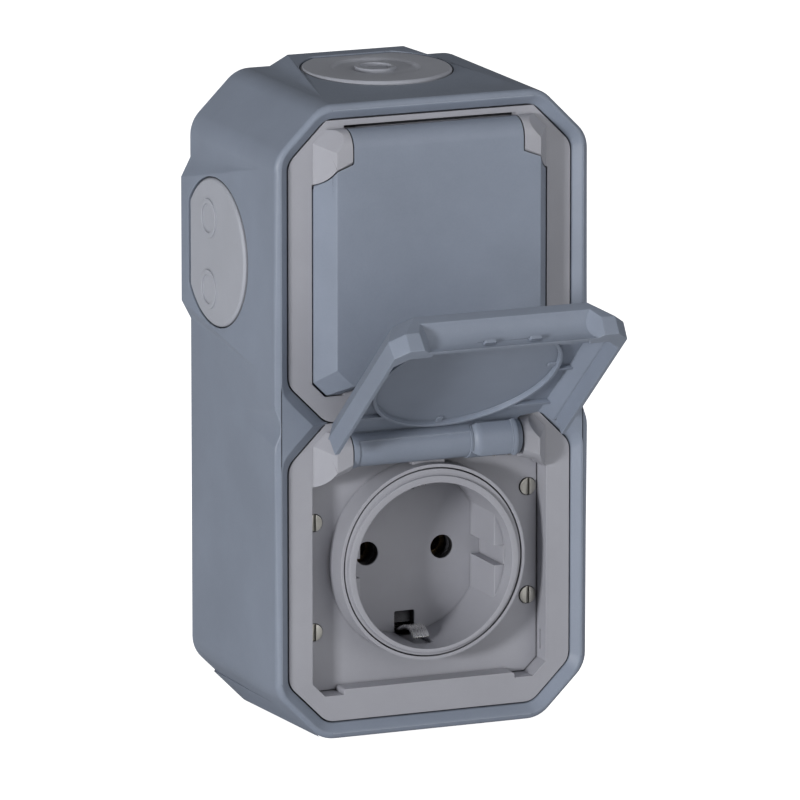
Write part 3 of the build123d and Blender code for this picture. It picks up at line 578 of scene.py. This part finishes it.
for gang, bracket in zip(gangSide, pairOf(makeBracket(bracketLook))):
    namePiece(bracket, gang + "EarthBracket")
    bracket.location = (0.0, 0.0, gangSide[gang] * place["gangOffset"] * mm)
    applyPlace(bracket)
    dress(bracket, springMetal, "housing", f"{gang}_earth_bracket")
print("earth brackets bent")

# Lid springs: a close-wound coil with two straight legs, modelled once at the hinge and copied
springLook = {
    "start": 10.2, "coilRadius": 2.3, "wireRadius": 0.39, "turns": 9, "pitch": 0.867,
    "steps": 28, "sides": 12,
    "legs": (14.1, 18.0), "legDrop": 0.6, "legReach": 5.2,
}


def placeAtHinge(piece, gang):
    height = gangSide[gang] * place["gangOffset"] + place["hingeHeight"]
    piece.location = (0.0, place["hingeY"] * mm, height * mm)
    piece.rotation_euler = (-math.radians(place["openAngle"][gang]), 0.0, 0.0)
    applyPlace(piece)


def makeSpring(look):
    radius = look["wireRadius"] * mm
    bpy.ops.mesh.primitive_circle_add(vertices=look["sides"], radius=radius, fill_type="NGON",
                                      location=(look["start"] * mm, look["coilRadius"] * mm, 0.0))
    coil = bpy.context.object
    applyPlace(coil)
    turn = coil.modifiers.new("winding", "SCREW")
    turn.axis = "X"
    turn.angle = math.tau
    turn.screw_offset = look["pitch"] * mm
    turn.iterations = look["turns"]
    turn.steps = look["steps"]
    turn.render_steps = look["steps"]
    applyModifiers(coil)
    reach = look["legReach"] - look["coilRadius"]
    middle = look["coilRadius"] + reach / 2
    legs = []
    for x in look["legs"]:
        bpy.ops.mesh.primitive_cylinder_add(vertices=look["sides"], radius=radius, depth=reach * mm,
                                            location=(x * mm, middle * mm, -look["legDrop"] * mm),
                                            rotation=(math.pi / 2, 0.0, 0.0))
        legs.append(bpy.context.object)
        applyPlace(legs[-1])
    selectOnly(coil)
    for leg in legs:
        leg.select_set(True)
    bpy.ops.object.join()
    bpy.ops.object.mode_set(mode="EDIT")
    bpy.ops.mesh.select_all(action="SELECT")
    bpy.ops.mesh.normals_make_consistent(inside=False)
    bpy.ops.object.mode_set(mode="OBJECT")
    bpy.ops.object.shade_smooth_by_angle(angle=math.radians(finish["smoothAngle"]))
    return coil


for gang, spring in zip(gangSide, pairOf(makeSpring(springLook))):
    namePiece(spring, gang + "LidSpring")
    placeAtHinge(spring, gang)
    dress(spring, springMetal, f"{gang}_lid", f"{gang}_lid_spring")
print("springs wound")

# Studio, in metres, with the lens and its sensor in millimetres
studio = {
    "cameraAt": (-0.93729, -2.22418, 0.51202), "lookAt": (-0.007512, -0.050, 0.003918), "lens": 471.18,
    "sensor": 36.0, "farthest": 50.0,
    "floorSize": 9.0, "floorGap": 0.0002, "floorShade": 0.86, "floorRoughness": 0.9, "floorGlow": 1.0,
    "lightTarget": (0.0, -0.03, 0.0),
    "key": {"at": (-1.181, -0.768, 0.146), "size": 0.2, "power": 14.3},
    "fill": {"at": (0.556, -1.222, 0.479), "size": 1.2, "power": 6.4},
    "top": {"at": (0.0, -0.463, 1.332), "size": 0.9, "power": 3.3},
    "sky": 0.13, "backdrop": 1.0,
}


def turnTowards(thing, target):
    aim = Vector(target) - thing.location
    thing.rotation_euler = aim.to_track_quat("-Z", "Y").to_euler()


def splitForCamera(tree, lighting, seen):
    # one shader lights the pieces, and the camera sees another
    split = tree.nodes.new("ShaderNodeMixShader")
    path = tree.nodes.new("ShaderNodeLightPath")
    tree.links.new(path.outputs["Is Camera Ray"], split.inputs[0])
    tree.links.new(lighting.outputs[0], split.inputs[1])
    tree.links.new(seen.outputs[0], split.inputs[2])
    return split.outputs[0]


def addSoftLight(name, look):
    bpy.ops.object.light_add(type="AREA", location=look["at"])
    lamp = bpy.context.object
    lamp.name = name
    lamp.data.shape = "SQUARE"
    lamp.data.size = look["size"]
    lamp.data.energy = look["power"]
    turnTowards(lamp, studio["lightTarget"])


bpy.ops.object.select_all(action="DESELECT")
bpy.ops.mesh.primitive_plane_add(size=studio["floorSize"], location=(0, 0, cadBox[0].z - studio["floorGap"]))
floor = bpy.context.object
floor.name = "studioFloor"
applyPlace(floor)
floorMaterial, floorTree, floorShader = startMaterial("paleFloor")
floorShader.inputs["Base Color"].default_value = (*[studio["floorShade"]] * 3, 1.0)
floorShader.inputs["Roughness"].default_value = studio["floorRoughness"]
floorGlow = floorTree.nodes.new("ShaderNodeEmission")
floorGlow.inputs["Strength"].default_value = studio["floorGlow"]
floorSum = floorTree.nodes.new("ShaderNodeAddShader")
floorTree.links.new(floorShader.outputs[0], floorSum.inputs[0])
floorTree.links.new(floorGlow.outputs[0], floorSum.inputs[1])
floorOut = floorTree.nodes["Material Output"]
floorTree.links.new(splitForCamera(floorTree, floorShader, floorSum), floorOut.inputs["Surface"])
floor.data.materials.append(floorMaterial)

world = bpy.data.worlds.new("studioSky")
bpy.context.scene.world = world
world.use_nodes = True
skyTree = world.node_tree
skyTree.nodes.clear()
skyLight = skyTree.nodes.new("ShaderNodeBackground")
skyLight.inputs["Strength"].default_value = studio["sky"]
skySeen = skyTree.nodes.new("ShaderNodeBackground")
skySeen.inputs["Strength"].default_value = studio["backdrop"]
skyOut = skyTree.nodes.new("ShaderNodeOutputWorld")
skyTree.links.new(splitForCamera(skyTree, skyLight, skySeen), skyOut.inputs["Surface"])

for name in ("key", "fill", "top"):
    addSoftLight(name + "Light", studio[name])

bpy.context.scene.view_settings.view_transform = "Standard"
bpy.context.scene.view_settings.look = "None"
bpy.ops.object.camera_add(location=studio["cameraAt"])
camera = bpy.context.object
camera.name = "photoCamera"
camera.data.lens = studio["lens"]
camera.data.sensor_width = studio["sensor"]
camera.data.clip_end = studio["farthest"]
turnTowards(camera, studio["lookAt"])
bpy.context.scene.camera = camera
print("studio ready")
